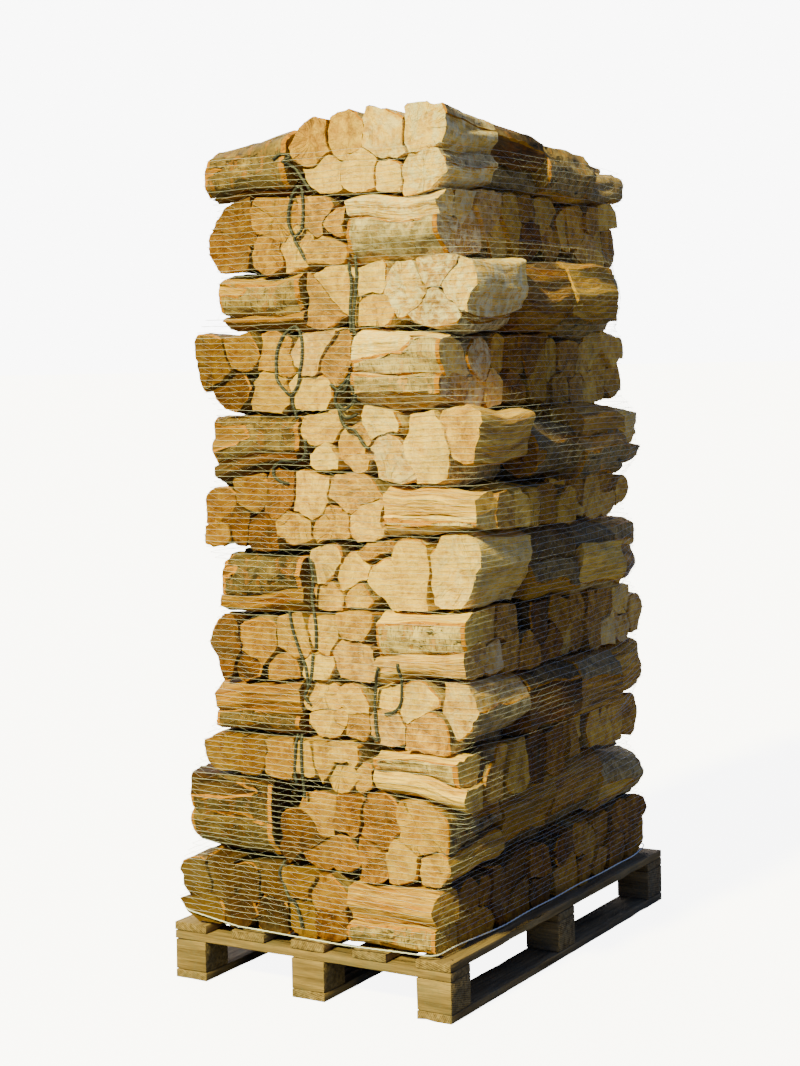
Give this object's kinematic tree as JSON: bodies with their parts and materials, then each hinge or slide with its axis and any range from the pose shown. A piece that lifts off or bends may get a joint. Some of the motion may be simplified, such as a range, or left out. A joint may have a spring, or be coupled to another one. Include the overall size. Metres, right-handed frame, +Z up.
{
  "type": "pallet of bagged birch firewood",
  "caption": "Tall load of split birch logs in small net bags, stacked in crossed layers on a wooden pallet and wrapped in pallet net.",
  "frame": {"origin": "on the ground under the middle of the pallet", "axes": "+Z up, X across the pallet's short end, Y along its long side"},
  "size_m": [0.9006, 1.2019, 2.1139],
  "materials": {
    "firewood": "split and sawn birch, dry, with pale grey bark",
    "pallet_wood": "sawn softwood, weathered",
    "net": "white knitted net"
  },
  "bodies": {
    "root": {"runner_1": "pallet_wood", "runner_2": "pallet_wood", "runner_3": "pallet_wood", "block_1": "pallet_wood", "block_2": "pallet_wood", "block_3": "pallet_wood", "block_4": "pallet_wood", "block_5": "pallet_wood", "block_6": "pallet_wood", "block_7": "pallet_wood", "block_8": "pallet_wood", "block_9": "pallet_wood", "cross_board_1": "pallet_wood", "cross_board_2": "pallet_wood", "cross_board_3": "pallet_wood", "deck_board_1": "pallet_wood", "deck_board_2": "pallet_wood", "deck_board_3": "pallet_wood", "deck_board_4": "pallet_wood", "deck_board_5": "pallet_wood", "layer_01_bag_row": "firewood", "layer_01_bag_front": "firewood", "layer_01_bag_back": "firewood", "layer_02_bag_row": "firewood", "layer_02_bag_front": "firewood", "layer_02_bag_back": "firewood", "layer_03_bag_row": "firewood", "layer_03_bag_front": "firewood", "layer_03_bag_back": "firewood", "layer_04_bag_row": "firewood", "layer_04_bag_front": "firewood", "layer_04_bag_back": "firewood", "layer_05_bag_row": "firewood", "layer_05_bag_front": "firewood", "layer_05_bag_back": "firewood", "layer_06_bag_row": "firewood", "layer_06_bag_front": "firewood", "layer_06_bag_back": "firewood", "layer_07_bag_row": "firewood", "layer_07_bag_front": "firewood", "layer_07_bag_back": "firewood", "layer_08_bag_row": "firewood", "layer_08_bag_front": "firewood", "layer_08_bag_back": "firewood", "layer_09_bag_row": "firewood", "layer_09_bag_front": "firewood", "layer_09_bag_back": "firewood", "layer_10_bag_row": "firewood", "layer_10_bag_front": "firewood", "layer_10_bag_back": "firewood", "layer_11_bag_row": "firewood", "layer_11_bag_front": "firewood", "layer_11_bag_back": "firewood", "layer_12_bag_row": "firewood", "layer_12_bag_front": "firewood", "layer_12_bag_back": "firewood", "net_wrap": "net"}
  },
  "joints": []
}
